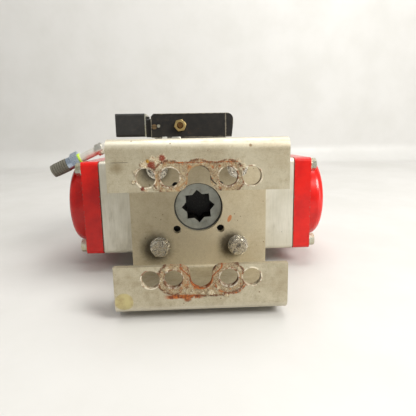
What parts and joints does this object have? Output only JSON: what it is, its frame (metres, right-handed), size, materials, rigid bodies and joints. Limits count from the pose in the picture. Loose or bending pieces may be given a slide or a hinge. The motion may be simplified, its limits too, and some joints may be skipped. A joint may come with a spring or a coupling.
{
  "type": "rotary pneumatic actuator",
  "caption": "Quarter-turn rack-and-pinion air cylinder with domed end caps, a star-drive shaft, a solenoid valve and a bent bracket for mounting it on a valve.",
  "frame": {"origin": "on the drive-shaft axis, in the plane of the bracket's front lips", "axes": "+X along the cylinder, +Y along the drive shaft away from the driven valve, +Z towards the solenoid valve"},
  "size_m": [0.3238, 0.2714, 0.1838],
  "materials": {
    "anodised_body": "clear anodised extrusion with fine lengthwise lines",
    "red_paint": "glossy powder coat over cast aluminium",
    "bracket_steel": "dull rolled stainless plate, bent, with rust and gasket residue",
    "bolt_steel": "plain stainless hexagon bolts, lightly soiled",
    "zinc_steel": "bright zinc plating",
    "blue_zinc": "bluish passivated zinc plating",
    "shaft_steel": "machined nickel-plated alloy steel, lightly oiled",
    "cam_steel": "sintered steel",
    "spring_steel": "drawn and coated spring wire",
    "piston_alloy": "as-cast and machined aluminium",
    "bearing_polymer": "filled bearing polymer",
    "guide_polymer": "acetal, natural",
    "black_rubber": "nitrile rubber, matte",
    "valve_black": "black anodised valve body, satin",
    "coil_resin": "moulded coil resin, fine grain",
    "plug_plastic": "moulded glass-filled plastic",
    "brass": "turned brass, slightly tarnished",
    "sintered_bronze": "sintered bronze granules",
    "fitting_metal": "nickel-plated fitting",
    "pipe_metal": "bright drawn tube",
    "seal_green": "yellow-green sealing ring",
    "silencer_grey": "dark grey ribbed silencer",
    "pointer_yellow": "moulded yellow insert"
  },
  "bodies": {
    "housing": {"cylinder_body": "anodised_body", "left_end_cap": "red_paint", "right_end_cap": "red_paint", "left_cap_gasket": "black_rubber", "right_cap_gasket": "black_rubber", "left_cap_screws": "zinc_steel", "right_cap_screws": "zinc_steel", "cap_screw_washers": "zinc_steel", "mounting_bracket": "bracket_steel", "bracket_bolts": "bolt_steel", "bracket_washers": "bolt_steel", "lower_shaft_bearing": "bearing_polymer", "upper_shaft_bearing": "bearing_polymer", "travel_stop_screws": "zinc_steel", "stop_lock_nuts": "zinc_steel", "left_return_spring": "spring_steel", "right_return_spring": "spring_steel", "interface_block": "valve_black", "interface_seals": "black_rubber", "block_screws": "zinc_steel", "valve_body": "valve_black", "valve_gasket": "black_rubber", "valve_end_cap": "valve_black", "valve_screws": "zinc_steel", "spool_spring": "spring_steel", "armature_spring": "spring_steel", "pilot_head": "coil_resin", "armature_tube": "zinc_steel", "solenoid_coil": "coil_resin", "coil_frame": "zinc_steel", "coil_nut": "zinc_steel", "cable_connector": "plug_plastic", "connector_screw": "zinc_steel", "cable_gland": "plug_plastic", "breather_body": "brass", "breather_element": "sintered_bronze", "pilot_screw": "zinc_steel", "elbow_fitting": "fitting_metal", "exhaust_pipe": "pipe_metal", "pipe_coupling": "fitting_metal", "silencer_nut": "blue_zinc", "silencer_seal_ring": "seal_green", "exhaust_silencer": "silencer_grey"},
    "pinion": {"pinion_shaft": "shaft_steel", "stop_cam": "cam_steel", "shaft_seals": "black_rubber", "thrust_washer": "guide_polymer", "shaft_circlip": "spring_steel", "position_indicator": "plug_plastic", "indicator_pointer": "pointer_yellow", "indicator_screw": "zinc_steel"},
    "left_piston_set": {"left_piston": "piston_alloy", "left_piston_seal": "black_rubber", "left_guides": "guide_polymer"},
    "right_piston_set": {"right_piston": "piston_alloy", "right_piston_seal": "black_rubber", "right_guides": "guide_polymer"},
    "spool": {"valve_spool": "piston_alloy"},
    "armature": {"solenoid_armature": "cam_steel"},
    "override": {"override_button": "brass"}
  },
  "joints": [
    {"name": "pinion_turn", "type": "hinge", "parent": "housing", "child": "pinion", "pos_m": [0, 0.1719, 0], "axis": [0, 1, 0], "range_deg": [0, 90], "stiffness_Nm_per_rad": 20},
    {"name": "right_piston_slide", "type": "slide", "parent": "housing", "child": "right_piston_set", "axis": [1, 0, 0], "range_m": [0, 0.0377], "deforming": ["right_return_spring"]},
    {"name": "left_piston_slide", "type": "slide", "parent": "housing", "child": "left_piston_set", "axis": [-1, 0, 0], "range_m": [0, 0.0377], "deforming": ["left_return_spring"]},
    {"name": "spool_slide", "type": "slide", "parent": "housing", "child": "spool", "axis": [1, 0, 0], "range_m": [0, 0.003], "stiffness_N_per_m": 500, "deforming": ["spool_spring"]},
    {"name": "armature_slide", "type": "slide", "parent": "housing", "child": "armature", "axis": [-1, 0, 0], "range_m": [0, 0.0015], "stiffness_N_per_m": 300, "deforming": ["armature_spring"]},
    {"name": "override_press", "type": "slide", "parent": "housing", "child": "override", "axis": [0, 1, 0], "range_m": [0, 0.0015], "stiffness_N_per_m": 300}
  ],
  "couplings": [
    {"joint": "right_piston_slide", "follows": "pinion_turn", "m_per_rad": 0.024},
    {"joint": "left_piston_slide", "follows": "pinion_turn", "m_per_rad": 0.024}
  ]
}
